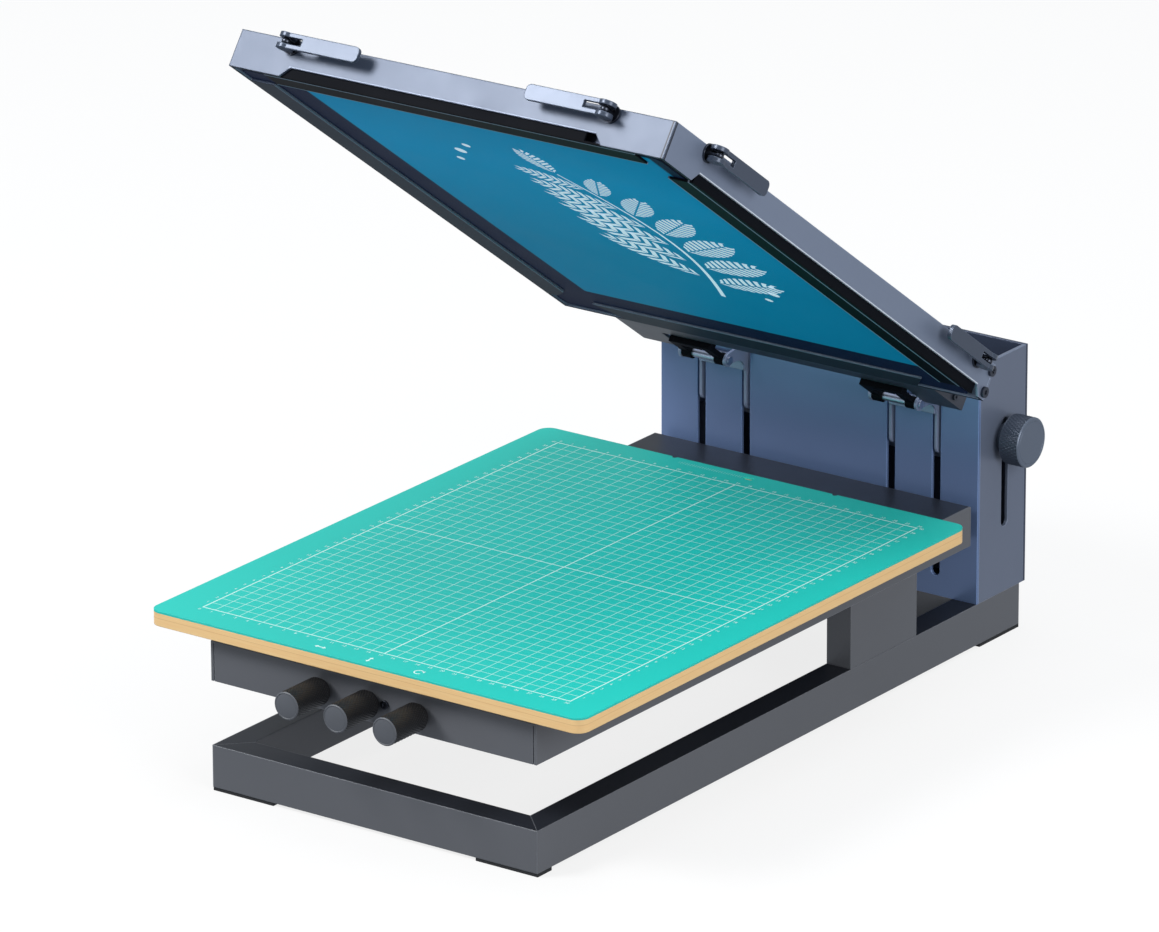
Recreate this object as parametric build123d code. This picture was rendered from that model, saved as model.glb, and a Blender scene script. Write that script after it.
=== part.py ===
from build123d import *
import os
from math import atan, degrees, radians, tan

# Tabletop screen printing press with a tilting screen holder, a height carriage in a rear
# tower and a platen on a three-knob registration stage. Millimetres, +Z up, front at -Y.
# The bench frame used below: X 0 on the centre line, Y 0 at the front of the base,
# Z 0 under the base rails. The whole machine is moved at the end so that the origin is
# the bottom centre of its bounding box.

# ---- fits and clearances
RUN_FIT = 0.05
SLOT_FIT = 0.2
GLIDE = 0.1
END_ROOM = 0.6
CUT = 1.0

# ---- base ring
BASE_W = 266.2
BASE_L = 567.6
RAIL_H = 29.9
RAIL_W = 20.0
FOOT_H = 2.5
FOOT_FRONT_W = 50.0
FOOT_FRONT_L = 15.5
FOOT_REAR_L = 49.0
FOOT_INSET = 0.5
HALF_W = BASE_W / 2

# ---- tower at the rear of the base
TOWER_L = 60.4
TOWER_OVERHANG = 7.1
TOWER_TOP = 203.3
TOWER_SHEET = 2.5
TOWER_FLANGE = 14.0
REAR_FLANGE = 20.0
TOWER_REAR = BASE_L + TOWER_OVERHANG
TOWER_FRONT = TOWER_REAR - TOWER_L
FRONT_SLOT_OUT = 34.4
FRONT_SLOT_IN = 72.1
FRONT_SLOT_W = 7.0
FRONT_SLOT_Z0 = 44.4
FRONT_SLOT_Z1 = TOWER_TOP - 5.3
EAR_PAIRS = {
    "left": (FRONT_SLOT_OUT - HALF_W, FRONT_SLOT_IN - HALF_W),
    "right": (HALF_W - FRONT_SLOT_IN, HALF_W - FRONT_SLOT_OUT),
}
SIDE_SLOT_SETBACK = 33.3
SIDE_SLOT_Y = TOWER_FRONT + SIDE_SLOT_SETBACK
SIDE_SLOT_W = 8.2
SIDE_SLOT_Z0 = 77.9
SIDE_SLOT_Z1 = 157.7

# ---- tray that carries the platen stage, and its two pedestals
TRAY_TOWER_GAP = 8.3
TRAY_REAR = TOWER_FRONT - TRAY_TOWER_GAP
TRAY_TOP = 104.4
TRAY_SKIRT_Z = 75.6
TRAY_SHEET = 2.0
TRAY_BEND_R = 1.2
TRAY_W = BASE_W - 0.2
SEAM = 0.8
PEDESTAL_INSET = 66.0
PEDESTAL_L = 79.5
PEDESTAL_W = 19.7
PEDESTAL_REAR = TRAY_REAR - PEDESTAL_INSET
PEDESTAL_FRONT = PEDESTAL_REAR - PEDESTAL_L

# ---- platen board and its mat
PLATEN_X0 = -177.4
PLATEN_X1 = 175.7
PLATEN_Y0 = -9.9
PLATEN_TOWER_GAP = 77.0
PLATEN_Y1 = TOWER_FRONT - PLATEN_TOWER_GAP
PLATEN_CORNER = 9.0
MAT_TOP = 119.5
MAT_T = 1.4
BOARD_T = 9.1
MAT_HOLE_L = 9.0
MAT_HOLE_W = 4.0
MAT_HOLE_INSET = 7.7
NOTCH_X = 67.0
NOTCH_R = 2.2
MAT_Z0 = MAT_TOP - MAT_T
BOARD_Z0 = MAT_Z0 - BOARD_T

# ---- stage plates between the tray and the platen
PLATE_T = 1.4
STAGE_W = 230.0
STAGE_FRONT = 15.0
STAGE_REAR_INSET = 7.3
STAGE_REAR = PLATEN_Y1 - STAGE_REAR_INSET
PIVOT_Y = 70.0
PIVOT_R = 6.0
PEG_R = 2.0
GUIDE_R = 3.0
X_TRAVEL = 4.0
Y_TRAVEL = 5.0
THETA_DEG = 1.5
TURN_ROOM = 2.4
REAR_X_GUIDE = 30.0
REAR_Y_GUIDE = 60.0
X_GUIDES = [(-70.0, 150.0), (70.0, 150.0), (0.0, STAGE_REAR - REAR_X_GUIDE)]
Y_GUIDES = [(0.0, 180.0), (0.0, STAGE_REAR - REAR_Y_GUIDE)]
PLATE_Z = [TRAY_TOP + GLIDE]
PLATE_Z.append(PLATE_Z[0] + PLATE_T + GLIDE)
PLATE_Z.append(PLATE_Z[1] + PLATE_T + GLIDE)

# ---- front adjusting screws
SCREW_XS = {"x": -40.0, "y": 0.0, "theta": 40.0}
NUT_YS = {"x": 70.0, "y": 35.0, "theta": 70.0}
SCREW_Z = 90.5
SCREW_R = 3.0
SCREW_TRAY_GAP = 0.4
KNOB_R = 10.0
KNOB_L = 37.0
KNOB_GAP = 3.0
KNOB_RIM = 0.8
KNOB_CAP = 8.0
KNOB_Y0 = -KNOB_GAP - KNOB_L
LEADSCREW_END = 112.0
SCREW_TAIL = 4.0
WEDGE_SLOPE = 0.3
NUT_W = 14.0
NUT_L = 10.0
NUT_Z0 = SCREW_Z - 7.0
NUT_Z1 = SCREW_Z + 10.0
BAR_T = 8.0
BAR_W = 110.0
BAR_Z0 = SCREW_Z - 10.0
TRAY_SCREW_X = 11.0
TRAY_SCREW_R = 1.5
TRAY_SCREW_L = 8.5
TRAY_HEAD_R = 3.0
TRAY_HEAD_H = 1.6
TRAY_SOCKET_R = 1.3

# ---- height carriage in the tower
SIDE_KNOB_Z = 143.1
SIDE_KNOB_R = 18.0
SIDE_KNOB_REACH = 21.65
SIDE_KNOB_FACE = HALF_W + SIDE_KNOB_REACH
SIDE_GRIP_L = 16.0
SIDE_SHOULDER_R = 11.0
SIDE_CAP = 6.0
CLAMP_SCREW_R = 3.0 - RUN_FIT
CLAMP_SCREW_IN = 25.0
BEAM_GAP = 4.6
BEAM_W = BASE_W - 2 * (TOWER_SHEET + BEAM_GAP)
BEAM_L = 27.0
BEAM_H = 40.0
BEAM_Y0 = SIDE_SLOT_Y - BEAM_L / 2
BEAM_Z1 = SIDE_KNOB_Z + BEAM_H / 2
EAR_T = 2.0
EAR_STANDOFF = 1.2
EAR_LEG_Y = TOWER_FRONT - EAR_STANDOFF
EAR_LEG_Z0 = SIDE_KNOB_Z - 9.8
EAR_LEG_Z1 = SIDE_KNOB_Z + 40.9
EAR_CORNER = 5.0
EAR_THROAT = 12.0
EAR_NECK = 3.5
EAR_TOP_RUN = 12.2
WEB_T = 2.3
WEB_GAP = 1.0
WEB_Y = TOWER_FRONT - WEB_GAP - WEB_T

# ---- hinge line
PIN_REACH = 22.3
PIN_RISE = 32.9
PIN_Y = TOWER_FRONT - PIN_REACH
PIN_Z = SIDE_KNOB_Z + PIN_RISE
PIN_R = 3.0
PIN_END = 2.4
LOBE_R = 4.8
WEB_Z0 = PIN_Z - 12.8
WEB_Z1 = PIN_Z - 3.0
TILT = 35.72

# ---- screen holder, drawn flat (u, v, w) and then tilted about the hinge pin
HOLDER_W = 349.0
HOLDER_L = 461.1
HOLDER_H = 26.2
HALF_H = HOLDER_W / 2
LOW = -HOLDER_H
SHEET = 2.0
LIP_T = 1.5
LIP = LOW + LIP_T
LEDGE = 22.0
CUT_W = -19.0
CUT_RAMP = 6.5
CUT_FROM_LEFT = 41.0
CUT_FROM_RIGHT = 48.9
FRONT_CUT = (CUT_FROM_LEFT - HALF_H, HALF_H - CUT_FROM_RIGHT)
LEFT_LIP_FRONT = 26.0
LEFT_LIP_SETBACK = 25.1
LEFT_LIP = (LEFT_LIP_FRONT, HOLDER_L - LEFT_LIP_SETBACK)
LEFT_LIP_RAMP = 14.0
REAR_LIP_INSET = 37.5
REAR_LIP_HALF = HALF_H - REAR_LIP_INSET
REAR_LIP_RAMP = 16.0
RELIEF_R = 1.8
RELIEF_RISE = 4.6
BAR_DROP = 0.6
BAR_EAR_W = -17.5
BAR_FROM_LEFT = 26.5
BAR_FROM_RIGHT = 63.5
FRONT_BAR = (BAR_FROM_LEFT - HALF_H, HALF_H - BAR_FROM_RIGHT)
FRONT_BAR_EAR = 25.0
LEDGE_FROM_RIGHT = 24.5
FRONT_LEDGE_END = HALF_H - LEDGE_FROM_RIGHT
RIGHT_BAR_FRONT = 45.0
RIGHT_BAR_SETBACK = 14.1
RIGHT_BAR = (RIGHT_BAR_FRONT, HOLDER_L - RIGHT_BAR_SETBACK)
RIGHT_BAR_EARS = (9.0, 11.0)
RIGHT_BAR_TAPER = 12.0

# ---- hinge channel behind the holder
CHANNEL_L = 44.7
PIN_V = HOLDER_L + CHANNEL_L
PIN_W = -27.7
CHANNEL_REAR = PIN_V - RUN_FIT
CHANNEL_STEP = 0.6
CHANNEL_W0 = LOW + CHANNEL_STEP
CHANNEL_W1 = -6.0
CHANNEL_STRIP = 17.0
CHANNEL_CUT_V = HOLDER_L + CHANNEL_STRIP
CHANNEL_CUT_X = 3.5
LEAF_W = 34.7
LEAF_T = 2.0
LEAF_L = 27.0
LEAF_BAR_L = 6.0
LEAF_BAR_DROP = 3.5
BARREL_R = 4.4
BARREL_L = 7.5

# ---- screen: tube frame and mesh
FRAME_LEFT_GAP = 2.3
FRAME_RIGHT_GAP = 9.7
FRAME_U0 = FRAME_LEFT_GAP - HALF_H
FRAME_U1 = HALF_H - FRAME_RIGHT_GAP
FRAME_V0 = 9.4
FRAME_REAR_GAP = 2.5
FRAME_V1 = HOLDER_L - FRAME_REAR_GAP
FRAME_CORNER = 6.0
TUBE_W = 22.0
TUBE_H = 18.0
TUBE_WALL = 1.5
MESH_T = 0.5

# ---- button screws on the side walls and the channel: head radius, head height, socket
WALL_SCREW = (3.8, 2.0, 1.6)
FLANGE_SCREW = (2.6, 1.6, 1.2)
WALL_SCREW_V = HOLDER_L - WALL_SCREW[0]
WALL_SCREW_WS = (-20.9, -5.4)
FLANGE_SCREW_W = -20.7
FLANGE_SCREW_SETBACK = 15.0
FLANGE_SCREW_V = CHANNEL_REAR - FLANGE_SCREW_SETBACK
SOCKET_DEPTH = 0.95

# ---- cam clamps: side of the holder, position along the wall, way the handle points
CLAMP_FROM_LEFT = 43.5
CLAMP_FROM_RIGHT = 49.0
CLAMP_FRONT_SHIFT = 1.0
CLAMP_REAR_SHIFT = 11.5
CLAMPS = {
    "front_left": ("front", CLAMP_FROM_LEFT - HALF_H, 1),
    "front_right": ("front", HALF_H - CLAMP_FROM_RIGHT, -1),
    "right_front": ("right", RIGHT_BAR[0] + CLAMP_FRONT_SHIFT, 1),
    "right_rear": ("right", RIGHT_BAR[1] - CLAMP_REAR_SHIFT, -1),
}
CLAMP_W = -4.35
LEVER_H = 10.7
LEVER_L = 61.0
LEVER_T = 3.0
LEVER_FACE = 0.5
LEVER_BACK = 2.0
LEVER_CORNER = 3.5
FORK_GAP = 4.9
FORK_L = 15.0
CAM_R = 6.0
CAM_OFFSET = 1.2
CAM_GAP = 0.3
WASHER_R = 6.5
WASHER_T = 1.5
CLAMP_STUD_R = 2.2
CROSS_PIN_R = 1.5
EYE_R = 2.9
CLAMP_NUT_T = 2.5
CLAMP_NUT_R = 4.0
NUT_GAP = 0.05

PARTS = {}


def block(x0, x1, y0, y1, z0, z1):
    """Box between two corners."""
    return Pos((x0 + x1) / 2, (y0 + y1) / 2, (z0 + z1) / 2) * Box(x1 - x0, y1 - y0, z1 - z0)


def side_block(side, far, near, y0, y1, z0, z1):
    """Box between two distances from the centre line, on the left (-1) or right (1)."""
    xs = sorted((side * far, side * near))
    return block(xs[0], xs[1], y0, y1, z0, z1)


def rod_x(r, xa, xb, y, z):
    return Pos((xa + xb) / 2, y, z) * Rot(0, 90, 0) * Cylinder(r, abs(xb - xa))


def rod_y(r, y0, y1, x, z):
    return Pos(x, (y0 + y1) / 2, z) * Rot(90, 0, 0) * Cylinder(r, y1 - y0)


def rod_z(r, z0, z1, x, y):
    return Pos(x, y, (z0 + z1) / 2) * Cylinder(r, z1 - z0)


def slab(points, z0, z1):
    """Flat plate from an outline in plan."""
    face = make_face(Polyline(*[(x, y) for x, y in points], close=True))
    return Pos(0, 0, z0) * extrude(face, z1 - z0)


def side_plate(points, x0, x1):
    """Plate lying in the YZ plane from (y, z) points."""
    face = make_face(Polyline(*[(x0, y, z) for y, z in points], close=True))
    return extrude(face, x1 - x0, dir=(1, 0, 0))


def face_plate(points, y0, y1):
    """Plate lying in the XZ plane from (x, z) points."""
    face = make_face(Polyline(*[(x, y0, z) for x, z in points], close=True))
    return extrude(face, y1 - y0, dir=(0, 1, 0))


def long_hole(x, y, length_x, length_y, z0, z1):
    """Round-ended hole or window in plan; the shorter side sets the end radius."""
    r = min(length_x, length_y) / 2
    dx = length_x / 2 - r
    dy = length_y / 2 - r
    hole = rod_z(r, z0, z1, x - dx, y - dy) + rod_z(r, z0, z1, x + dx, y + dy)
    if dx > 0:
        hole += block(x - dx, x + dx, y - r, y + r, z0, z1)
    if dy > 0:
        hole += block(x - r, x + r, y - dy, y + dy, z0, z1)
    return hole


def base():
    """Ring of four flat bars, mitred at the front, on rubber pads."""
    inner = HALF_W - RAIL_W
    front = [(-HALF_W, 0), (HALF_W, 0), (inner, RAIL_W), (-inner, RAIL_W)]
    PARTS["base_rail_front"] = slab(front, 0, RAIL_H)
    for name, side in (("left", -1), ("right", 1)):
        outline = [(side * HALF_W, 0), (side * HALF_W, BASE_L)]
        outline += [(side * inner, BASE_L), (side * inner, RAIL_W)]
        PARTS["base_rail_" + name] = slab(outline, 0, RAIL_H)
    PARTS["base_rail_rear"] = block(-inner, inner, TOWER_FRONT, BASE_L, 0, RAIL_H)
    pads = []
    for side in (-1, 1):
        y1 = FOOT_INSET + FOOT_FRONT_L
        pads.append(side_block(side, HALF_W, HALF_W - FOOT_FRONT_W, FOOT_INSET, y1, -FOOT_H, 0))
        pads.append(side_block(side, HALF_W, inner, BASE_L - FOOT_REAR_L, BASE_L, -FOOT_H, 0))
    PARTS["rubber_feet"] = Compound(pads)


def pedestals():
    """Blocks between the side rails and the tray, stepped to sit inside the skirt."""
    half = TRAY_W / 2
    y0, y1 = PEDESTAL_FRONT, PEDESTAL_REAR
    inner = half - PEDESTAL_W
    for name, side in (("left", -1), ("right", 1)):
        foot = side_block(side, half, inner, y0, y1, RAIL_H, TRAY_SKIRT_Z)
        head = side_block(side, half - TRAY_SHEET, inner, y0, y1, TRAY_SKIRT_Z, TRAY_TOP - TRAY_SHEET)
        PARTS["pedestal_" + name] = foot + head


def nut_travel(name):
    """Travel of a drive nut to one side of its middle."""
    if name == "x":
        return X_TRAVEL / WEDGE_SLOPE
    if name == "y":
        return Y_TRAVEL
    return SCREW_XS["theta"] * tan(radians(THETA_DEG))


def tray():
    """Folded sheet tray, open below, with the windows of the three drive pegs."""
    half = TRAY_W / 2
    t = TRAY_SHEET
    under = TRAY_TOP - t
    above = TRAY_TOP + CUT
    body = block(-half, half, 0, TRAY_REAR, TRAY_SKIRT_Z, TRAY_TOP)
    body -= block(-half + t, half - t, t, TRAY_REAR - t, 0, under)
    long_edges = body.edges().filter_by(Axis.X).group_by(Axis.Z)[-1]
    side_edges = body.edges().filter_by(Axis.Y).group_by(Axis.Z)[-1]
    body = fillet(long_edges + side_edges, TRAY_BEND_R)
    for side in (-1, 1):
        body -= side_block(side, half - t, half - t - SEAM, -CUT, t, 0, under)
    for name, x in SCREW_XS.items():
        body -= rod_y(SCREW_R + SCREW_TRAY_GAP, -CUT, t + CUT, x, SCREW_Z)
        length = 2 * (nut_travel(name) + PEG_R + END_ROOM)
        body -= long_hole(x, NUT_YS[name], 2 * (PEG_R + RUN_FIT), length, under - CUT, above)
    for x, y in X_GUIDES:
        body -= rod_z(GUIDE_R, under - CUT, above, x, y)
    body -= rod_y(TRAY_SCREW_R + RUN_FIT, -CUT, t + CUT, TRAY_SCREW_X, SCREW_Z)
    PARTS["carrier_tray"] = body
    pegs = []
    for x, y in X_GUIDES:
        pegs.append(rod_z(GUIDE_R, under, PLATE_Z[0] + PLATE_T - GLIDE, x, y))
    PARTS["stage_guide_pegs"] = Compound(pegs)


def bearing_bars():
    """Front and rear bars under the tray that carry the three screws."""
    bars = []
    for y0 in (TRAY_SHEET, LEADSCREW_END - BAR_T):
        y1 = y0 + BAR_T
        bar = block(-BAR_W / 2, BAR_W / 2, y0, y1, BAR_Z0, TRAY_TOP - TRAY_SHEET)
        for x in SCREW_XS.values():
            bar -= rod_y(SCREW_R + RUN_FIT, y0 - CUT, y1 + CUT, x, SCREW_Z)
        bars.append(bar)
    bars[0] -= rod_y(TRAY_SCREW_R, 0, TRAY_SCREW_L, TRAY_SCREW_X, SCREW_Z)
    PARTS["screw_bearing_bars"] = Compound(bars)
    head = rod_y(TRAY_HEAD_R, -TRAY_HEAD_H, 0, TRAY_SCREW_X, SCREW_Z)
    head += rod_y(TRAY_SCREW_R, -TRAY_HEAD_H / 2, TRAY_SCREW_L, TRAY_SCREW_X, SCREW_Z)
    head -= rod_y(TRAY_SOCKET_R, -TRAY_HEAD_H - CUT, SOCKET_DEPTH - TRAY_HEAD_H, TRAY_SCREW_X, SCREW_Z)
    PARTS["tray_screw"] = head


def tower():
    """Open-topped tower of four sheet panels with inward bottom flanges."""
    t = TOWER_SHEET
    z0 = RAIL_H
    inner = HALF_W - t
    y0, y1 = TOWER_FRONT, TOWER_REAR
    front = block(-HALF_W, HALF_W, y0, y0 + t, z0, TOWER_TOP)
    front += block(-inner, inner, y0, y0 + TOWER_FLANGE, z0, z0 + t)
    r = FRONT_SLOT_W / 2
    for x in EAR_PAIRS["left"] + EAR_PAIRS["right"]:
        front -= block(x - r, x + r, y0 - CUT, y0 + t + CUT, FRONT_SLOT_Z0 + r, FRONT_SLOT_Z1 - r)
        front -= rod_y(r, y0 - CUT, y0 + t + CUT, x, FRONT_SLOT_Z0 + r)
        front -= rod_y(r, y0 - CUT, y0 + t + CUT, x, FRONT_SLOT_Z1 - r)
    PARTS["tower_front"] = front
    rear = block(-HALF_W, HALF_W, y1 - t, y1, z0, TOWER_TOP)
    rear += block(-inner, inner, y1 - REAR_FLANGE, y1, z0, z0 + t)
    PARTS["tower_rear"] = rear
    r = SIDE_SLOT_W / 2
    low = SIDE_SLOT_Z0 + r
    high = SIDE_SLOT_Z1 - r
    for name, side in (("left", -1), ("right", 1)):
        panel = side_block(side, HALF_W, inner, y0 + t, y1 - t, z0, TOWER_TOP)
        flange_y = (y0 + TOWER_FLANGE, y1 - REAR_FLANGE)
        panel += side_block(side, HALF_W, HALF_W - TOWER_FLANGE, *flange_y, z0, z0 + t)
        PARTS["tower_" + name] = panel
    slot = block(inner - CUT, HALF_W + CUT, SIDE_SLOT_Y - r, SIDE_SLOT_Y + r, low, high)
    for z in (low, high):
        slot += rod_x(r, inner - CUT, HALF_W + CUT, SIDE_SLOT_Y, z)
    PARTS["tower_right"] -= slot


def stage():
    """Three sliding plates under the platen: sideways, turning, then fore and aft."""
    half = STAGE_W / 2
    z = PLATE_Z[0]
    z0, z1 = z - CUT, z + PLATE_T + CUT
    x_plate = block(-half, half, STAGE_FRONT, STAGE_REAR, z, z + PLATE_T)
    for x, y in X_GUIDES:
        length = 2 * (GUIDE_R + X_TRAVEL + END_ROOM)
        x_plate -= long_hole(x, y, length, 2 * (GUIDE_R + RUN_FIT), z0, z1)
    slope = (1 + WEDGE_SLOPE**2) ** 0.5
    reach = (nut_travel("x") + END_ROOM) * slope
    wedge = long_hole(0, 0, 2 * (PEG_R + RUN_FIT), 2 * (reach + PEG_R), z0, z1)
    angle = degrees(atan(WEDGE_SLOPE))
    x_plate -= Pos(SCREW_XS["x"], NUT_YS["x"], 0) * Rot(0, 0, angle) * wedge
    for name in ("y", "theta"):
        width = PEG_R + X_TRAVEL + CUT
        length = PEG_R + nut_travel(name) + CUT
        window = block(-width, width, -length, length, z0, z1)
        x_plate -= Pos(SCREW_XS[name], NUT_YS[name], 0) * window
    x_plate += rod_z(PIVOT_R, z, PLATE_Z[1] + PLATE_T, 0, PIVOT_Y)
    PARTS["stage_plate_side"] = x_plate

    z = PLATE_Z[1]
    z0, z1 = z - CUT, z + PLATE_T + CUT
    turn = block(-half, half, STAGE_FRONT, STAGE_REAR, z, z + PLATE_T)
    turn -= rod_z(PIVOT_R + RUN_FIT, z0, z1, 0, PIVOT_Y)
    length = 2 * (PEG_R + X_TRAVEL + CUT)
    turn -= long_hole(SCREW_XS["theta"], NUT_YS["theta"], length, 2 * (PEG_R + SLOT_FIT), z0, z1)
    width = PEG_R + X_TRAVEL + TURN_ROOM
    length = PEG_R + Y_TRAVEL + CUT
    turn -= Pos(SCREW_XS["y"], NUT_YS["y"], 0) * block(-width, width, -length, length, z0, z1)
    for x, y in Y_GUIDES:
        turn += rod_z(GUIDE_R, z, PLATE_Z[2] + PLATE_T - GLIDE, x, y)
    PARTS["stage_plate_turning"] = turn

    z = PLATE_Z[2]
    z0, z1 = z - CUT, BOARD_Z0 + CUT
    y_plate = block(-half, half, STAGE_FRONT, STAGE_REAR, z, BOARD_Z0)
    for x, y in Y_GUIDES:
        length = 2 * (GUIDE_R + Y_TRAVEL + END_ROOM)
        y_plate -= long_hole(x, y, 2 * (GUIDE_R + RUN_FIT), length, z0, z1)
    y_plate -= long_hole(SCREW_XS["y"], NUT_YS["y"], 2 * width, 2 * (PEG_R + SLOT_FIT), z0, z1)
    PARTS["stage_plate_fore_aft"] = y_plate


def platen():
    """Board with rounded corners and the ruled mat on top of it."""
    x0, x1, y0, y1 = PLATEN_X0, PLATEN_X1, PLATEN_Y0, PLATEN_Y1
    zone = block(x0, x1, y0, y1, BOARD_Z0, MAT_TOP)
    zone = fillet(zone.edges().filter_by(Axis.Z), PLATEN_CORNER)
    board = zone & block(x0, x1, y0, y1, BOARD_Z0, MAT_Z0)
    mat = zone & block(x0, x1, y0, y1, MAT_Z0, MAT_TOP)
    mat -= long_hole(0, y1 - MAT_HOLE_INSET, MAT_HOLE_L, MAT_HOLE_W, MAT_Z0 - CUT, MAT_TOP + CUT)
    for x in (-NOTCH_X, NOTCH_X):
        mat -= rod_z(NOTCH_R, MAT_Z0 - CUT, MAT_TOP + CUT, x, y1)
    PARTS["platen_board"] = board
    PARTS["platen_mat"] = mat


def adjusters():
    """Front knobs on their leadscrews and the nuts that push the stage plates."""
    tops = {"x": PLATE_Z[0], "theta": PLATE_Z[1], "y": PLATE_Z[2]}
    for name, x in SCREW_XS.items():
        knob = rod_y(KNOB_R, KNOB_Y0, KNOB_Y0 + KNOB_L, x, SCREW_Z)
        rims = knob.edges().group_by(Axis.Y)[0] + knob.edges().group_by(Axis.Y)[-1]
        knob = chamfer(rims, KNOB_RIM)
        knob -= rod_y(SCREW_R, KNOB_Y0 + KNOB_CAP, 0, x, SCREW_Z)
        PARTS["adjust_knob_" + name] = knob
        screw = rod_y(SCREW_R, KNOB_Y0 + KNOB_CAP, LEADSCREW_END + SCREW_TAIL, x, SCREW_Z)
        PARTS["leadscrew_" + name] = screw
        y = NUT_YS[name]
        nut = block(x - NUT_W / 2, x + NUT_W / 2, y - NUT_L / 2, y + NUT_L / 2, NUT_Z0, NUT_Z1)
        nut -= rod_y(SCREW_R + RUN_FIT, y - NUT_L, y + NUT_L, x, SCREW_Z)
        nut += rod_z(PEG_R, NUT_Z1 - CUT, tops[name] + PLATE_T - GLIDE, x, y)
        PARTS["drive_nut_" + name] = nut


def hinge_ear(x):
    """Ear of a hinge bracket, from the carriage beam out to the hinge pin."""
    outline = [
        (PIN_Y, PIN_Z - EAR_NECK),
        (EAR_LEG_Y, PIN_Z - EAR_NECK),
        (EAR_LEG_Y, EAR_LEG_Z0),
        (BEAM_Y0, EAR_LEG_Z0),
        (BEAM_Y0, BEAM_Z1),
        (EAR_LEG_Y + EAR_TOP_RUN, EAR_LEG_Z1),
        (EAR_LEG_Y, EAR_LEG_Z1),
        (PIN_Y, PIN_Z + LOBE_R),
    ]
    x0, x1 = x - EAR_T / 2, x + EAR_T / 2
    ear = side_plate(outline, x0, x1)
    for z, r in ((PIN_Z - EAR_NECK, EAR_THROAT), (EAR_LEG_Z0, EAR_CORNER)):
        corner = ear.edges().filter_by(Axis.X).sort_by_distance((x, EAR_LEG_Y, z))[0]
        ear = fillet(corner, r)
    ear += rod_x(LOBE_R, x0, x1, PIN_Y, PIN_Z)
    return ear - rod_x(PIN_R, x0 - CUT, x1 + CUT, PIN_Y, PIN_Z)


def carriage():
    """Beam inside the tower with the hinge brackets and pins, and its clamp at the right side."""
    half = BEAM_W / 2
    y, z = SIDE_SLOT_Y, SIDE_KNOB_Z
    beam = block(-half, half, BEAM_Y0, BEAM_Y0 + BEAM_L, BEAM_Z1 - BEAM_H, BEAM_Z1)
    screw_end = half - CLAMP_SCREW_IN
    beam -= rod_x(CLAMP_SCREW_R + RUN_FIT, screw_end - CUT, half + CUT, y, z)
    PARTS["carriage_beam"] = beam
    pins = []
    for name, (xa, xb) in EAR_PAIRS.items():
        bracket = hinge_ear(xa) + hinge_ear(xb)
        bracket += block(xa, xb, WEB_Y, WEB_Y + WEB_T, WEB_Z0, WEB_Z1)
        PARTS["hinge_bracket_" + name] = bracket
        pins.append(rod_x(PIN_R, xa - PIN_END, xb + PIN_END, PIN_Y, PIN_Z))
    PARTS["hinge_pins"] = Compound(pins)
    grip = SIDE_KNOB_FACE - SIDE_GRIP_L
    tip = SIDE_KNOB_FACE - SIDE_CAP
    PARTS["side_clamp_screw"] = rod_x(CLAMP_SCREW_R, screw_end, tip, y, z)
    knob = rod_x(SIDE_KNOB_R, grip, SIDE_KNOB_FACE, y, z)
    knob = chamfer(knob.edges().group_by(Axis.X)[0] + knob.edges().group_by(Axis.X)[-1], KNOB_RIM)
    knob += rod_x(SIDE_SHOULDER_R, HALF_W + GLIDE, grip, y, z)
    PARTS["side_knob"] = knob - rod_x(CLAMP_SCREW_R, HALF_W - CUT, tip, y, z)


def tilted(shape):
    """Place a holder piece drawn flat: u along X, v along Y, w along Z."""
    return Pos(0, PIN_Y, PIN_Z) * Rot(-TILT, 0, 0) * Pos(0, -PIN_V, -PIN_W) * shape


def clamp_hole(side, at, a, b):
    """Hole of a clamp stud through a wall, from depth a to depth b behind its outer face."""
    r = CLAMP_STUD_R + RUN_FIT
    if side == "front":
        return rod_y(r, a, b, at, CLAMP_W)
    return rod_x(r, HALF_H - b, HALF_H - a, at, CLAMP_W)


def holder_walls():
    """Four folded walls; the left and rear ones have inward bottom lips."""
    h = HALF_H
    c0, c1 = FRONT_CUT
    front = [(-h, 0), (h, 0), (h, LOW), (c1, LOW), (c1 - CUT_RAMP, CUT_W)]
    front += [(c0 + CUT_RAMP, CUT_W), (c0, LOW), (-h, LOW)]
    PARTS["holder_wall_front"] = face_plate(front, 0, SHEET)
    v0, v1 = SHEET, HOLDER_L - SHEET
    c0, c1 = RIGHT_BAR
    right = [(v0, 0), (v1, 0), (v1, LOW), (c1 + CUT_RAMP, LOW), (c1, CUT_W)]
    right += [(c0, CUT_W), (c0 - CUT_RAMP, LOW), (v0, LOW)]
    PARTS["holder_wall_right"] = side_plate(right, h - SHEET, h)
    left = block(-h, -h + SHEET, v0, v1, LOW, 0)
    c0, c1 = LEFT_LIP
    edge = LEDGE - h
    lip = [(-h, c0), (edge, c0), (edge, c1 - LEFT_LIP_RAMP), (edge - LEFT_LIP_RAMP, c1), (-h, c1)]
    left += slab(lip, LOW, LIP)
    left -= rod_x(RELIEF_R, -h - CUT, -h + SHEET + CUT, c0 - 1.0, LOW + RELIEF_RISE)
    PARTS["holder_wall_left"] = left
    rear = block(-h, h, v1, HOLDER_L, LOW, 0)
    v_in = HOLDER_L - LEDGE - SHEET
    half = REAR_LIP_HALF
    tip = half - REAR_LIP_RAMP
    rear += slab([(-half, v_in), (half, v_in), (tip, HOLDER_L), (-tip, HOLDER_L)], LOW, LIP)
    PARTS["holder_wall_rear"] = rear
    for side, at, way in CLAMPS.values():
        PARTS["holder_wall_" + side] -= clamp_hole(side, at, -CUT, SHEET + CUT)


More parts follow.
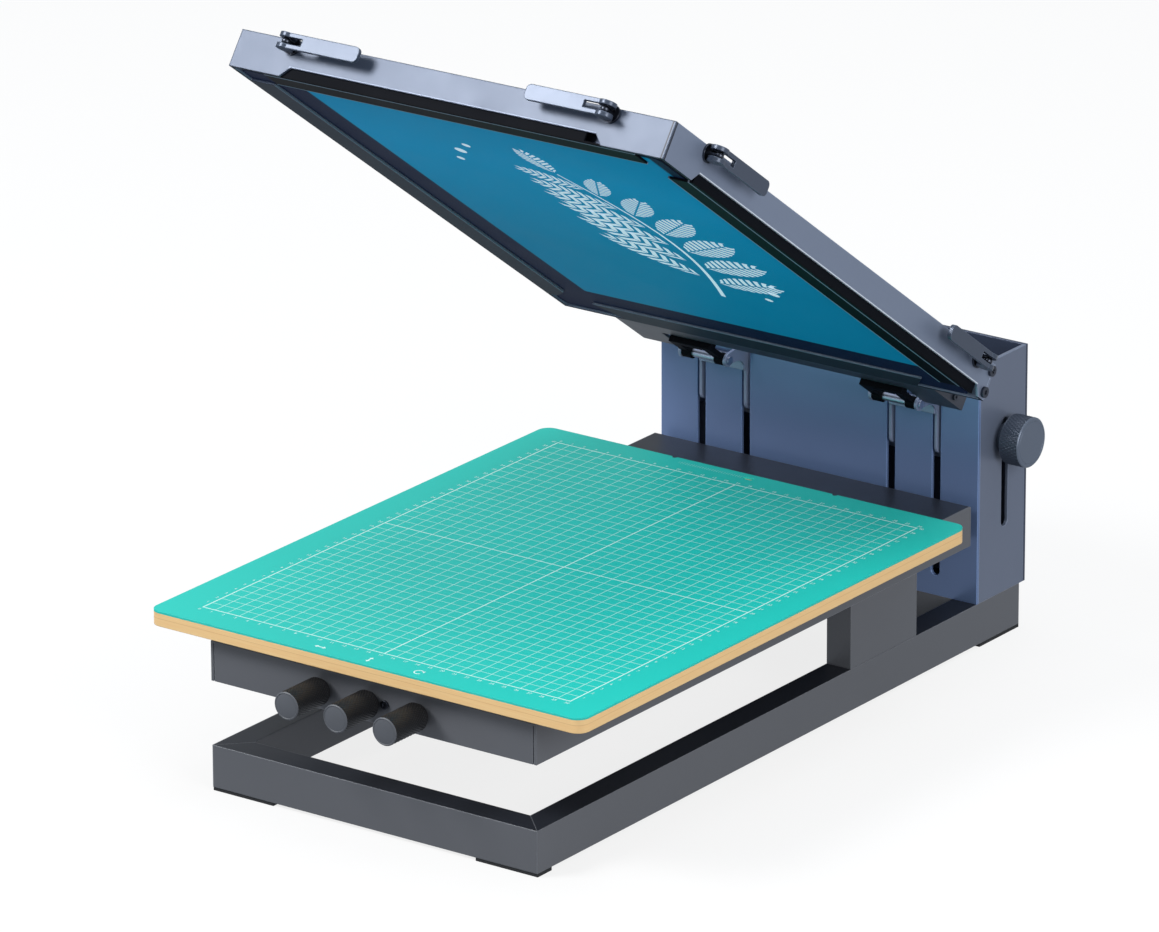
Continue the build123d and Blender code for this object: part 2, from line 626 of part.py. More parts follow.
def ledge_bars():
    """Angle bars behind the front and right walls that carry the screen."""
    top = -BAR_DROP
    u0, u1 = FRONT_BAR
    front = block(u0, u1, SHEET, SHEET + LIP_T, LOW, top)
    front += block(u1, u1 + FRONT_BAR_EAR, SHEET, SHEET + LIP_T, BAR_EAR_W, top)
    front += block(u0, FRONT_LEDGE_END, SHEET, LEDGE, LOW, LIP)
    h = HALF_H - SHEET
    v0, v1 = RIGHT_BAR
    right = block(h - LIP_T, h, v0, v1, LOW, top)
    right += block(h - LIP_T, h, v0 - RIGHT_BAR_EARS[0], v0, BAR_EAR_W, top)
    right += block(h - LIP_T, h, v1, v1 + RIGHT_BAR_EARS[1], BAR_EAR_W, top)
    right += block(HALF_H - LEDGE, h, v0, v1 - RIGHT_BAR_TAPER, LOW, LIP)
    bars = {"front": front, "right": right}
    for side, at, way in CLAMPS.values():
        bars[side] -= clamp_hole(side, at, 0, SHEET + LIP_T + CUT)
    for side, bar in bars.items():
        PARTS["ledge_bar_" + side] = bar


def hinge_channel():
    """Channel behind the rear wall, cut back between its end lugs, and its hinge leaves."""
    t = SHEET
    w0, w1 = CHANNEL_W0, CHANNEL_W1
    channel = block(-HALF_W, HALF_W, HOLDER_L, CHANNEL_REAR, w0, w0 + t)
    channel += block(-HALF_W, HALF_W, HOLDER_L, HOLDER_L + t, w0, w1)
    for side in (-1, 1):
        channel += side_block(side, HALF_W, HALF_W - t, HOLDER_L, CHANNEL_REAR, w0, w1)
    lug = EAR_PAIRS["right"][1] + CHANNEL_CUT_X
    channel -= block(-lug, lug, CHANNEL_CUT_V, CHANNEL_REAR + CUT, w0 - CUT, w0 + t + CUT)
    leaves = []
    leaf_end = HOLDER_L + LEAF_L
    low = w0 - LEAF_BAR_DROP
    for xa, xb in EAR_PAIRS.values():
        x0 = (xa + xb - LEAF_W) / 2
        x1 = (xa + xb + LEAF_W) / 2
        leaf = block(x0, x1, HOLDER_L + t, leaf_end, w0 + t, w0 + t + LEAF_T)
        leaf += block(x0, x1, leaf_end - LEAF_BAR_L, leaf_end, low, w0 + t)
        for ka, kb in ((x0, x0 + BARREL_L), (x1 - BARREL_L, x1)):
            leaf += rod_x(BARREL_R, ka, kb, PIN_V, PIN_W)
            leaf += block(ka, kb, leaf_end - CUT, PIN_V, low, w0)
        leaf -= rod_x(PIN_R + RUN_FIT, x0 - CUT, x1 + CUT, PIN_V, PIN_W)
        leaves.append(leaf)
    PARTS["hinge_channel"] = channel
    PARTS["hinge_leaves"] = Compound(leaves)


def screen():
    """Welded tube frame with the mesh stretched under it."""
    w0 = LIP + MESH_T
    w1 = w0 + TUBE_H
    t = TUBE_WALL
    u0, u1, v0, v1 = FRAME_U0, FRAME_U1, FRAME_V0, FRAME_V1
    i0, i1, j0, j1 = u0 + TUBE_W, u1 - TUBE_W, v0 + TUBE_W, v1 - TUBE_W
    mitres = {
        "front": [(u0, v0), (u1, v0), (i1, j0), (i0, j0)],
        "rear": [(u0, v1), (u1, v1), (i1, j1), (i0, j1)],
        "left": [(u0, v0), (u0, v1), (i0, j1), (i0, j0)],
        "right": [(u1, v0), (u1, v1), (i1, j1), (i1, j0)],
    }
    outer = block(u0, u1, v0, v1, w0, w1)
    outer = fillet(outer.edges().filter_by(Axis.Z), FRAME_CORNER)
    outer -= block(i0, i1, j0, j1, w0 - CUT, w1 + CUT)
    cavity = block(u0 + t, u1 - t, v0 + t, v1 - t, w0 + t, w1 - t)
    cavity -= block(i0 - t, i1 + t, j0 - t, j1 + t, w0, w1)
    bores = {"front": (i0, i1, v0, v1), "left": (u0, u1, j0, j1)}
    bores["rear"] = bores["front"]
    bores["right"] = bores["left"]
    for name, outline in mitres.items():
        wedge = slab(outline, w0 - CUT, w1 + CUT)
        bore = cavity & wedge & block(*bores[name], w0, w1)
        PARTS["screen_rail_" + name] = (outer & wedge) - bore
    mesh = block(u0, u1, v0, v1, LIP, w0)
    PARTS["screen_mesh"] = fillet(mesh.edges().filter_by(Axis.Z), FRAME_CORNER)


def button_screw(side, wall, v, w, spec):
    """Button screw head standing on a side wall, with a round socket."""
    r, height, socket = spec
    head = rod_x(r, side * wall, side * (wall + height), v, w)
    return head - rod_x(socket, side * (wall + height - SOCKET_DEPTH), side * (wall + height + CUT), v, w)


def holder_screws():
    """Button screws at the rear of the side walls and on the channel flanges."""
    screws = []
    for side in (-1, 1):
        for w in WALL_SCREW_WS:
            screws.append(button_screw(side, HALF_H, WALL_SCREW_V, w, WALL_SCREW))
        screws.append(button_screw(side, HALF_W, FLANGE_SCREW_V, FLANGE_SCREW_W, FLANGE_SCREW))
    PARTS["holder_screws"] = Compound(screws)


def clamps():
    """Cam levers on cross-pinned studs, drawn at the wall and moved into place.

    Drawn with the wall at t = 0 and outward as -Y, the handle along +X.
    """
    pin_t = WASHER_T + CAM_R + CAM_OFFSET + CAM_GAP
    nut_t = SHEET + LIP_T + NUT_GAP
    w1 = LEVER_H / 2
    washers = []
    for name, (side, at, way) in CLAMPS.items():
        lever = block(-LEVER_BACK, LEVER_L, -LEVER_T - LEVER_FACE, -LEVER_FACE, -w1, w1)
        lever = fillet(lever.edges().filter_by(Axis.Y).sort_by(Axis.X)[-2:], LEVER_CORNER)
        lever += rod_z(CAM_R, -w1, w1, 0, CAM_OFFSET)
        lever -= block(-2 * CAM_R, FORK_L, -2 * CAM_R, 2 * CAM_R, -FORK_GAP / 2, FORK_GAP / 2)
        lever -= rod_z(CROSS_PIN_R + RUN_FIT, -w1 - CUT, w1 + CUT, 0, 0)
        if way < 0:
            lever = lever.mirror(Plane.YZ)
        eye = Sphere(EYE_R) & block(-EYE_R, EYE_R, -EYE_R, EYE_R, -CLAMP_STUD_R, CLAMP_STUD_R)
        stud = rod_y(CLAMP_STUD_R, -pin_t, nut_t + CLAMP_NUT_T, 0, 0) + Pos(0, -pin_t, 0) * eye
        stud += rod_z(CROSS_PIN_R, -w1, w1, 0, -pin_t)
        stud += rod_y(CLAMP_NUT_R, nut_t, nut_t + CLAMP_NUT_T, 0, 0)
        washer = rod_y(WASHER_R, -WASHER_T, 0, 0, 0)
        washer -= rod_y(CLAMP_STUD_R + RUN_FIT, -WASHER_T - CUT, CUT, 0, 0)
        turn = Pos(at, 0, CLAMP_W)
        if side == "right":
            turn = Pos(HALF_H, at, CLAMP_W) * Rot(0, 0, 90)
        PARTS["clamp_lever_" + name] = turn * Pos(0, -pin_t, 0) * lever
        PARTS["clamp_stud_" + name] = turn * stud
        washers.append(turn * washer)
    PARTS["clamp_washers"] = Compound(washers)


TILTED = (
    "holder_",
    "ledge_bar",
    "hinge_channel",
    "hinge_leaves",
    "screen_rail",
    "screen_mesh",
    "clamp_lever",
    "clamp_stud",
    "clamp_washers",
)

base()
pedestals()
tray()
bearing_bars()
tower()
stage()
platen()
adjusters()
carriage()
holder_walls()
ledge_bars()
hinge_channel()
screen()
holder_screws()
clamps()

for node in PARTS:
    if node.startswith(TILTED):
        PARTS[node] = tilted(PARTS[node])

boxes = [shape.bounding_box() for shape in PARTS.values()]
X_MIN = min(b.min.X for b in boxes)
X_MAX = max(b.max.X for b in boxes)
Y_MIN = min(b.min.Y for b in boxes)
Y_MAX = max(b.max.Y for b in boxes)
SHIFT = Pos(-(X_MIN + X_MAX) / 2, -(Y_MIN + Y_MAX) / 2, FOOT_H)

os.makedirs("parts", exist_ok=True)
for node, shape in PARTS.items():
    export_step(SHIFT * shape, "parts/" + node + ".step")
print(len(PARTS), "nodes; shift", -(X_MIN + X_MAX) / 2, -(Y_MIN + Y_MAX) / 2)
print("size", X_MAX - X_MIN, Y_MAX - Y_MIN, max(b.max.Z for b in boxes) + FOOT_H)
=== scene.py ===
import math

import bmesh
import bpy
from mathutils import Matrix, Vector


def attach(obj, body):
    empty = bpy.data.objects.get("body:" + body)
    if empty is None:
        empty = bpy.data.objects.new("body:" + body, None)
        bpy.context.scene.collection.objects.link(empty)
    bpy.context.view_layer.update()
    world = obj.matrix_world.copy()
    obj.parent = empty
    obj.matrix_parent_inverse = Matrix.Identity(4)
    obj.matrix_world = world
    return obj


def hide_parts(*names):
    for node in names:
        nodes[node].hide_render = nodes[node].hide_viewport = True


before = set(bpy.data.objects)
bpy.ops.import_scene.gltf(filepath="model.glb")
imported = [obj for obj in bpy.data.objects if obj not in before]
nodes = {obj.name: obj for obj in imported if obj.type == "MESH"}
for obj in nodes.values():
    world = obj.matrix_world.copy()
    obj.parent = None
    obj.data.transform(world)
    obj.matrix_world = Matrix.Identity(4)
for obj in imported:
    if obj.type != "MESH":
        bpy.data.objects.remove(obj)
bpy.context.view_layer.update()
scene = bpy.context.scene
MM = 0.001

# where the bench frame of the measurements has its origin in the model's frame, in mm
BENCH = Vector((-5.45, -267.35, 2.5))
# the hinge pin in the bench frame, the same pin along and square to the holder, its tilt
PIN = Vector((0.0, 492.0, 176.0))
PIN_V = 505.8
PIN_W = -27.7
TILT = math.radians(35.72)

CAMERA_PLACE = (3435.44, -4513.81, 2272.13)
CAMERA_AZIMUTH = 35.9
CAMERA_ELEVATION = 19.599
CAMERA_ROLL = -0.188
FOCAL_PIXELS = 9305.79
FRAME_PIXELS = 1159
SENSOR_W = 36

# the mat: its top, the corners of its printed grid and its line widths
MAT_TOP = 119.5
MAT_X0, MAT_X1 = -150.0, 150.0
MAT_Y0, MAT_Y1 = 14.0, 414.0
GRID_CELL = 0.01
GRID_THIN = 0.00026
GRID_THICK = 0.00045
TICK_STEP = 0.002
TICK_HALF = 0.00018

# the underside of the screen mesh square to the holder, and its weave
MESH_UNDERSIDE = -24.73
WEAVE_PITCH = 0.6

FRONT_KNOB_XS = (("x", -40.0), ("y", 0.0), ("theta", 40.0))
FRONT_KNOB_Y = -40.0
FRONT_KNOB_Z = 90.5
SIDE_KNOB_END = (154.75, 547.6, 143.1)


def bench(x, y, z):
    """A point of the bench frame in mm, as metres of the model's frame."""
    return (Vector((x, y, z)) + BENCH) * MM


def holder(u, v, w):
    """A point of the tilted holder: u across, v rearward along it, w square to it."""
    dv = v - PIN_V
    dw = w - PIN_W
    c = math.cos(TILT)
    s = math.sin(TILT)
    return (Vector((u, PIN.y + dv * c + dw * s, PIN.z - dv * s + dw * c)) + BENCH) * MM


# ---------------------------------------------------------------- camera
def camera():
    """The photograph's own viewpoint."""
    az, el, roll = (math.radians(a) for a in (CAMERA_AZIMUTH, CAMERA_ELEVATION, CAMERA_ROLL))
    back = Vector((math.sin(az) * math.cos(el), -math.cos(az) * math.cos(el), math.sin(el)))
    right = Vector((math.cos(az), math.sin(az), 0))
    up = back.cross(right)
    r = right * math.cos(roll) + up * math.sin(roll)
    u = up * math.cos(roll) - right * math.sin(roll)
    data = bpy.data.cameras.new("camera")
    data.sensor_width = SENSOR_W
    data.lens = FOCAL_PIXELS / FRAME_PIXELS * SENSOR_W
    data.clip_start = 0.1
    data.clip_end = 50
    cam = bpy.data.objects.new("camera", data)
    scene.collection.objects.link(cam)
    place = bench(*CAMERA_PLACE)
    rows = [(r[i], u[i], back[i], place[i]) for i in range(3)]
    cam.matrix_world = Matrix(rows + [(0, 0, 0, 1)])
    scene.camera = cam


camera()


# ---------------------------------------------------------------- node helpers
class Tree:
    """Short names for building a node material."""

    def __init__(self, name):
        self.mat = bpy.data.materials.new(name)
        self.mat.use_nodes = True
        self.t = self.mat.node_tree
        self.t.nodes.clear()
        self.out = self.node("ShaderNodeOutputMaterial")

    def node(self, kind, **sets):
        n = self.t.nodes.new(kind)
        for key, value in sets.items():
            setattr(n, key, value)
        return n

    def link(self, a, b):
        self.t.links.new(a, b)

    def put(self, socket, value):
        if isinstance(value, bpy.types.NodeSocket):
            self.link(value, socket)
        else:
            socket.default_value = value

    def math(self, op, a, b=0.0, c=0.0, clamp=False):
        n = self.node("ShaderNodeMath", operation=op, use_clamp=clamp)
        for s, v in zip(n.inputs, (a, b, c)):
            self.put(s, v)
        return n.outputs[0]

    def mix(self, factor, a, b):
        n = self.node("ShaderNodeMix", data_type="RGBA")
        self.put(n.inputs[0], factor)
        self.put(n.inputs[6], a)
        self.put(n.inputs[7], b)
        return n.outputs[2]

    def coords(self):
        return self.node("ShaderNodeTexCoord").outputs["Object"]

    def split(self, vector):
        n = self.node("ShaderNodeSeparateXYZ")
        self.link(vector, n.inputs[0])
        return n.outputs

    def noise(self, scale, detail=3.0, rough=0.5, vector=None, stretch=None):
        n = self.node("ShaderNodeTexNoise")
        n.inputs["Scale"].default_value = scale
        n.inputs["Detail"].default_value = detail
        n.inputs["Roughness"].default_value = rough
        v = vector or self.coords()
        if stretch:
            m = self.node("ShaderNodeMapping")
            m.inputs["Scale"].default_value = stretch
            self.link(v, m.inputs[0])
            v = m.outputs[0]
        self.link(v, n.inputs["Vector"])
        return n.outputs[0]

    def bump(self, height, strength, distance, normal=None):
        n = self.node("ShaderNodeBump")
        n.inputs["Strength"].default_value = strength
        n.inputs["Distance"].default_value = distance
        self.link(height, n.inputs["Height"])
        if normal is not None:
            self.link(normal, n.inputs["Normal"])
        return n.outputs[0]

    def bevel(self, radius):
        n = self.node("ShaderNodeBevel", samples=6)
        n.inputs["Radius"].default_value = radius
        return n.outputs[0]

    def holder_coords(self):
        """Across, along and square to the tilted holder, in mm, of the shaded point."""
        x, y, z = self.split(self.coords())
        s = math.sin(TILT)
        c = math.cos(TILT)
        pin = (PIN + BENCH) * MM
        u = self.math("MULTIPLY_ADD", x, 1 / MM, -BENCH.x)
        dy = self.math("SUBTRACT", y, pin.y)
        dz = self.math("SUBTRACT", z, pin.z)
        along = self.math("SUBTRACT", self.math("MULTIPLY", dy, c), self.math("MULTIPLY", dz, s))
        square = self.math("ADD", self.math("MULTIPLY", dy, s), self.math("MULTIPLY", dz, c))
        v = self.math("MULTIPLY_ADD", along, 1 / MM, PIN_V)
        w = self.math("MULTIPLY_ADD", square, 1 / MM, PIN_W)
        return u, v, w

    def band(self, value, lo, hi, soft=0.15):
        """1 between lo and hi, fading over soft either side."""
        up = self.math("MULTIPLY_ADD", value, 0.5 / soft, 0.5 - lo * 0.5 / soft, clamp=True)
        down = self.math("MULTIPLY_ADD", value, -0.5 / soft, 0.5 + hi * 0.5 / soft, clamp=True)
        return self.math("MULTIPLY", up, down)

    def most(self, *values):
        out = values[0]
        for value in values[1:]:
            out = self.math("MAXIMUM", out, value)
        return out

    def surface(self, color, rough, metal=0.0, normal=None, **more):
        n = self.node("ShaderNodeBsdfPrincipled")
        self.put(n.inputs["Base Color"], color)
        self.put(n.inputs["Roughness"], rough)
        n.inputs["Metallic"].default_value = metal
        if normal is not None:
            self.link(normal, n.inputs["Normal"])
        for key, value in more.items():
            self.put(n.inputs[key.replace("_", " ")], value)
        self.link(n.outputs[0], self.out.inputs[0])
        return n


def rgb(r, g, b):
    """sRGB bytes to the linear colour that Blender takes."""

    def lin(c):
        c /= 255
        return c / 12.92 if c <= 0.04045 else ((c + 0.055) / 1.055) ** 2.4

    return (lin(r), lin(g), lin(b), 1.0)


def shade(color, k):
    return (color[0] * k, color[1] * k, color[2] * k, 1.0)


COAT_GRAIN = 0.025


def coat(name, color, rough, metal=0.0, radius=0.0011, wear_and_highlight=1.7, lines=None, spec=0.5, top=None):
    """Satin powder coat: fine orange-peel, faint patches, lighter at the edges, partly edge wear and
    partly a painted highlight.

    lines(tree) gives the masks and colours of painted highlights on bends and edges, of seams, of
    faces toned with painted shade and of a near-black upright, and whether each is dull.
    top is a second colour for faces that look straight up: painted shade.
    """
    t = Tree(name)
    normal = t.bevel(radius)
    true_normal = t.node("ShaderNodeNewGeometry").outputs["Normal"]
    dot = t.node("ShaderNodeVectorMath", operation="DOT_PRODUCT")
    t.link(normal, dot.inputs[0])
    t.link(true_normal, dot.inputs[1])
    edge = t.math("SUBTRACT", 1.0, dot.outputs["Value"], clamp=True)
    edge = t.math("MULTIPLY", edge, 4.0, clamp=True)
    patch = t.noise(9, 4, 0.6)
    speck = t.noise(2600, 2, 0.6)
    base = t.mix(patch, shade(color, 0.93), shade(color, 1.07))
    base = t.mix(t.math("MULTIPLY", speck, 0.22), base, shade(color, 1.35))
    # Faces that look straight up take the top colour: painted shade.
    if top:
        up = t.math("GREATER_THAN", t.split(true_normal)[2], 0.98)
        base = t.mix(up, base, t.mix(patch, shade(top, 0.9), shade(top, 1.1)))
    # Lighter edges: partly edge wear, partly a painted highlight where a rounded edge catches the
    # light.
    edge_rub_and_highlight = t.math("MULTIPLY", edge, t.math("MULTIPLY_ADD", t.noise(60, 4, 0.7), 0.6, 0.4))
    base = t.mix(edge_rub_and_highlight, base, shade(color, wear_and_highlight))
    if lines:
        for mask, tint, dull in lines(t):
            base = t.mix(mask, base, tint)
            if dull:
                spec = t.math("MULTIPLY_ADD", mask, -spec, spec)
    smear = t.noise(30, 5, 0.65)
    r = t.math("MULTIPLY_ADD", smear, 0.12, rough - 0.06)
    fine = t.noise(1500, 2, 0.5)
    t.surface(base, r, metal, t.bump(fine, COAT_GRAIN, 0.0004, normal), Specular_IOR_Level=spec)
    return t.mat


# Holder and angle bar tones: the pale line colours are painted highlights, the front face and
# underside tones painted shade.
RIGHT_FOLD_HIGHLIGHT = rgb(228, 236, 248)
FRONT_FACE_PAINTED_SHADE = rgb(72, 82, 100)
UNDERSIDE = rgb(56, 61, 72)
FRONT_FOLD_HIGHLIGHT = rgb(122, 132, 152)
LIP_EDGE_HIGHLIGHT = rgb(110, 120, 138)
LEDGE_UPRIGHT = rgb(12, 15, 22)
LEDGE_EDGE_HIGHLIGHT = rgb(150, 162, 182)
SEAM = rgb(18, 22, 32)


def holder_lines(t):
    """Painted highlights along the folded edges of the walls and lips, painted shade on the front
    face and the lip undersides, and the open seam of the front right corner.
    """
    u, v, w = t.holder_coords()
    front = t.band(v, -2.0, 2.1)
    right = t.band(u, 172.3, 180.0)
    # Painted highlights: pale lines along the folds of the front and right walls and along the lip
    # edges at the left and rear.
    fold = t.band(w, -19.6, -18.2)
    along_front = t.math("MULTIPLY", t.band(u, -128.0, 119.0), front)
    along_right = t.math("MULTIPLY", t.band(v, 45.0, 447.0), right)
    front_fold_highlight = t.math("MULTIPLY", fold, along_front)
    right_fold_highlight = t.math("MULTIPLY", fold, along_right)
    low = t.band(w, -27.0, -24.2)
    left_lip_highlight = t.math("MULTIPLY", t.band(u, -154.0, -152.0), low)
    left_lip_highlight = t.math("MULTIPLY", left_lip_highlight, t.band(v, 22.0, 425.0))
    rear_lip_highlight = t.math("MULTIPLY", t.band(v, 436.0, 438.4), low)
    rear_lip_highlight = t.math("MULTIPLY", rear_lip_highlight, t.band(u, -138.0, 138.0))
    seam_front = t.math("MULTIPLY", t.band(u, 172.2, 173.2), t.band(v, -2.0, 0.6))
    seam_side = t.math("MULTIPLY", t.band(v, 1.5, 2.6), t.band(u, 174.0, 180.0))
    # Painted shade: a darker tone over the front face and, dull, over the undersides of the lips.
    front_face_painted_shade = t.math("MULTIPLY", front, t.band(w, -26.0, 30.0))
    underside = t.band(w, -28.0, -25.95, 0.05)
    return (
        (front_face_painted_shade, FRONT_FACE_PAINTED_SHADE, False),
        (underside, UNDERSIDE, True),
        (front_fold_highlight, FRONT_FOLD_HIGHLIGHT, False),
        (right_fold_highlight, RIGHT_FOLD_HIGHLIGHT, False),
        (t.most(left_lip_highlight, rear_lip_highlight), LIP_EDGE_HIGHLIGHT, False),
        (t.most(seam_front, seam_side), SEAM, False),
    )


def ledge_lines(t):
    """Painted highlights along the bend and the cut edge of each angle bar, and a near-black on its
    outer upright.
    """
    u, v, w = t.holder_coords()
    low = t.band(w, -27.0, -24.0)
    # Painted highlights: pale lines at the bend and at the cut edge.
    front = t.math("MULTIPLY", low, t.most(t.band(v, 3.6, 4.8), t.band(v, 21.0, 22.4)))
    front = t.math("MULTIPLY", front, t.band(u, -150.0, 150.5))
    right = t.math("MULTIPLY", low, t.most(t.band(u, 168.0, 169.3), t.band(u, 152.0, 153.6)))
    right = t.math("MULTIPLY", right, t.band(v, 45.0, 440.0))
    outer = t.most(t.band(v, -1.0, 3.6), t.band(u, 170.5, 180.0))
    upright = t.math("MULTIPLY", t.band(w, -24.8, -17.0), outer)
    return (
        (t.math("MULTIPLY", upright, 0.8), LEDGE_UPRIGHT, False),
        (t.most(front, right), LEDGE_EDGE_HIGHLIGHT, False),
    )


def metal(name, color, rough, stretch=(1, 1, 1)):
    """Bare metal with a fine brushed streak."""
    t = Tree(name)
    streak = t.noise(400, 3, 0.6, stretch=stretch)
    r = t.math("MULTIPLY_ADD", streak, 0.2, rough - 0.08)
    base = t.mix(t.noise(25, 4, 0.6), shade(color, 0.9), shade(color, 1.05))
    t.surface(base, r, 1.0, t.bump(streak, 0.08, 0.0003, t.bevel(0.0005)))
    return t.mat


def threaded(name, color, pitch):
    """Steel screw: the thread is a fine saw of ridges along its length, with painted shade in the
    grooves.
    """
    t = Tree(name)
    x, y, z = t.split(t.coords())
    ridge = t.math("PINGPONG", t.math("DIVIDE", y, pitch / 2), 1.0)
    # Painted shade: the grooves between the ridges are darker.
    base = t.mix(ridge, shade(color, 0.45), color)
    t.surface(base, 0.34, 1.0, t.bump(ridge, 0.9, 0.0006))
    return t.mat


def plastic(name, color, rough):
    """Moulded plastic with a faint cloud."""
    t = Tree(name)
    fine = t.noise(900, 3, 0.6)
    base = t.mix(t.noise(40, 3, 0.6), shade(color, 0.85), shade(color, 1.2))
    r = t.math("MULTIPLY_ADD", t.noise(200, 3, 0.6), 0.16, rough - 0.08)
    t.surface(base, r, 0.0, t.bump(fine, 0.12, 0.0003, t.bevel(0.0003)))
    return t.mat


def rubber(name, color):
    """Dull rubber."""
    t = Tree(name)
    base = t.mix(t.noise(120, 4, 0.7), shade(color, 0.8), shade(color, 1.3))
    t.surface(base, 0.8, 0.0, t.bump(t.noise(1200, 3, 0.7), 0.25, 0.0004))
    return t.mat


def board_wood(name):
    """Pressed bamboo-like board: pale, with long fibres that run across the front edge."""
    t = Tree(name)
    x, y, z = t.split(t.coords())
    fibre = t.noise(70, 5, 0.65, stretch=(0.5, 0.5, 12))
    streak = t.noise(260, 4, 0.7, stretch=(0.25, 0.25, 5))
    light = rgb(255, 222, 164)
    dark = rgb(240, 186, 122)
    base = t.mix(t.math("MULTIPLY", fibre, 0.8), light, dark)
    base = t.mix(t.math("MULTIPLY", streak, 0.35), base, rgb(220, 174, 108))
    layer = t.math("PINGPONG", t.math("DIVIDE", z, 0.0030), 1.0)
    layer = t.math("GREATER_THAN", layer, 0.93)
    base = t.mix(t.math("MULTIPLY", layer, 0.35), base, rgb(196, 146, 88))
    t.surface(base, 0.5, 0.0, t.bump(streak, 0.15, 0.0004, t.bevel(0.0006)))
    return t.mat


def mat_surface(name):
    """Satin turquoise mat with a printed centimetre grid, heavier at its frame and middle."""
    t = Tree(name)
    x, y, z = t.split(t.coords())

    def lines(value, start, step, half):
        """1 on the lines at start + n * step, half a width either side."""
        s = t.math("DIVIDE", t.math("SUBTRACT", value, start), step)
        f = t.math("ABSOLUTE", t.math("SUBTRACT", t.math("FRACT", t.math("ADD", s, 0.5)), 0.5))
        return t.math("LESS_THAN", f, half / step)

    def within(value, lo, hi):
        a = t.math("GREATER_THAN", value, lo)
        b = t.math("LESS_THAN", value, hi)
        return t.math("MULTIPLY", a, b)

    lo = bench(MAT_X0, MAT_Y0, 0)
    hi = bench(MAT_X1, MAT_Y1, 0)
    mid = (lo + hi) / 2
    thin = (GRID_CELL, GRID_THIN)
    grid = t.math("MAXIMUM", lines(x, lo.x, *thin), lines(y, lo.y, *thin))
    border_x = lines(x, lo.x, hi.x - lo.x, GRID_THICK)
    border_y = lines(y, lo.y, hi.y - lo.y, GRID_THICK)
    heavy = t.math("MAXIMUM", border_x, border_y)
    heavy = t.math("MAXIMUM", heavy, lines(x, lo.x, mid.x - lo.x, GRID_THICK))
    heavy = t.math("MAXIMUM", heavy, lines(y, lo.y, mid.y - lo.y, GRID_THICK))
    edge = 0.0005
    inside_x = within(x, lo.x - edge, hi.x + edge)
    inside = t.math("MULTIPLY", inside_x, within(y, lo.y - edge, hi.y + edge))
    facing = t.split(t.node("ShaderNodeNewGeometry").outputs["Normal"])[2]
    top = t.math("GREATER_THAN", facing, 0.9)
    mark = t.math("MAXIMUM", t.math("MULTIPLY", grid, 0.62), t.math("MULTIPLY", heavy, 0.85))
    tick_zone = within(y, hi.y + 0.0140, hi.y + 0.0172)
    ticks = t.math("MULTIPLY", lines(x, lo.x, TICK_STEP, TICK_HALF), tick_zone)
    ticks = t.math("MULTIPLY", ticks, within(x, bench(-58, 0, 0).x, bench(-5, 0, 0).x))
    mark = t.math("MAXIMUM", t.math("MULTIPLY", mark, inside), t.math("MULTIPLY", ticks, 0.5))
    mark = t.math("MULTIPLY", mark, top)
    color = rgb(31, 196, 181)
    base = t.mix(t.noise(5, 3, 0.5), shade(color, 0.94), shade(color, 1.06))
    base = t.mix(mark, base, rgb(226, 248, 240))
    fine = t.noise(1800, 3, 0.6)
    r = t.math("MULTIPLY_ADD", t.noise(12, 4, 0.6), 0.12, 0.42)
    t.surface(base, r, 0.0, t.bump(fine, 0.1, 0.0003, t.bevel(0.0004)))
    return t.mat


def plain_weave(t, u, v):
    """-1 to 1 over the crossings of warp and weft."""
    warp = t.math("SINE", t.math("MULTIPLY", u, 2 * math.pi / WEAVE_PITCH))
    weft = t.math("SINE", t.math("MULTIPLY", v, 2 * math.pi / WEAVE_PITCH))
    return t.math("MULTIPLY", warp, weft)


def mesh_surface(name):
    """Coated screen mesh: a fine plain weave under a blue-green emulsion, its colour raised as
    painted light for the light behind it, with painted shade over the frame, towards the rear and on
    the upper face.
    """
    t = Tree(name)
    u, v, w = t.holder_coords()
    weave = plain_weave(t, u, v)
    # The bright colour is painted light, for light coming through the emulsion from behind.
    color = rgb(14, 178, 236)
    base = t.mix(t.noise(4, 4, 0.55), shade(color, 0.86), shade(color, 1.12))
    # Painted shade: darker outside 5 to 200 mm along, most of all towards the rear.
    base = t.mix(t.band(v, 5.0, 200.0, 90.0), shade(color, 0.72), base)
    base = t.mix(t.math("MULTIPLY_ADD", weave, 0.05, 0.05), base, rgb(60, 160, 190))
    # Painted shade over the frame, where no light comes through from behind.
    across = t.band(u, -128.0, 156.0, 1.2)
    open_field = t.math("MULTIPLY", across, t.band(v, 12.0, 410.0, 1.2))
    base = t.mix(open_field, rgb(24, 34, 66), base)
    # The upper face takes a darker copy: painted shade.
    above = t.band(w, -24.4, 0.0, 0.05)
    base = t.mix(above, base, t.mix(0.5, base, rgb(8, 40, 60)))
    r = t.math("MULTIPLY_ADD", t.noise(18, 4, 0.6), 0.15, 0.5)
    t.surface(base, r, 0.0, t.bump(weave, 0.12, 0.0002), Specular_IOR_Level=0.06)
    return t.mat


def stencil_surface(name):
    """Open mesh, pale, with a painted glow on its underside standing in for the room's light behind
    it.
    """
    t = Tree(name)
    u, v, w = t.holder_coords()
    weave = plain_weave(t, u, v)
    base = t.mix(t.math("MULTIPLY_ADD", weave, 0.12, 0.12), rgb(214, 222, 232), rgb(160, 186, 204))
    n = t.surface(base, 0.6, 0.0, t.bump(weave, 0.2, 0.0002), Specular_IOR_Level=0.15)
    n.inputs["Emission Color"].default_value = rgb(206, 218, 232)
    # Painted glow on the underside only; the upper face has none.
    above = t.band(w, -24.4, 0.0, 0.05)
    t.put(n.inputs["Emission Strength"], t.math("MULTIPLY_ADD", above, -0.5, 0.5))
    return t.mat


def ink(name, color):
    """Printed marks."""
    t = Tree(name)
    base = t.mix(t.noise(300, 3, 0.6), shade(color, 0.93), color)
    t.surface(base, 0.5)
    return t.mat


